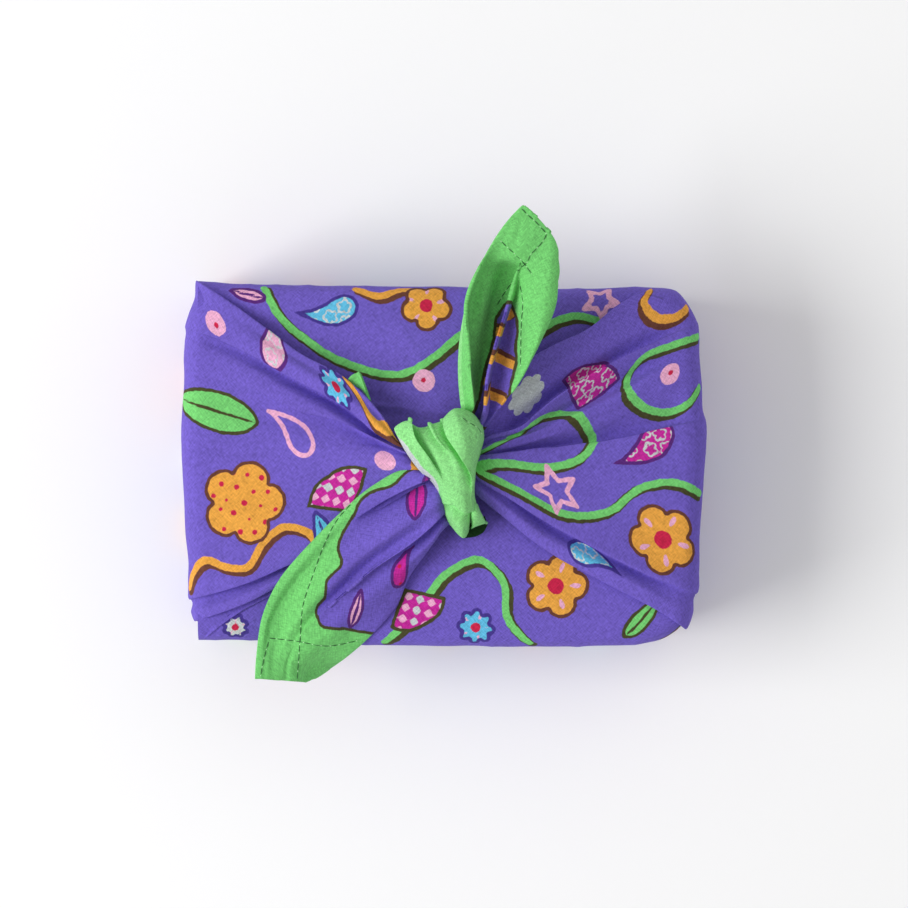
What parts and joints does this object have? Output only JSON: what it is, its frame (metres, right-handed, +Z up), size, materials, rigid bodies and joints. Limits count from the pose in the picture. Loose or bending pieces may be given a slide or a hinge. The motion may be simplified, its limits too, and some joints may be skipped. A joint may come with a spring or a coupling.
{
  "type": "furoshiki wrap",
  "caption": "Square hemmed cotton wrapping cloth folded round a box shape, its side corners gathered over the top and tied in a knot with two free ends.",
  "frame": {"origin": "middle of the bounding box, on the surface that the wrap stands on", "axes": "+X along the wrapped body's length, +Y towards its far side, +Z up through the knot"},
  "size_m": [0.1576, 0.143, 0.0819],
  "materials": {
    "printed_cotton": "matt plain-weave cotton, violet ground with a bright green border"
  },
  "bodies": {
    "root": {"wrap_cloth": "printed_cotton"}
  },
  "joints": []
}
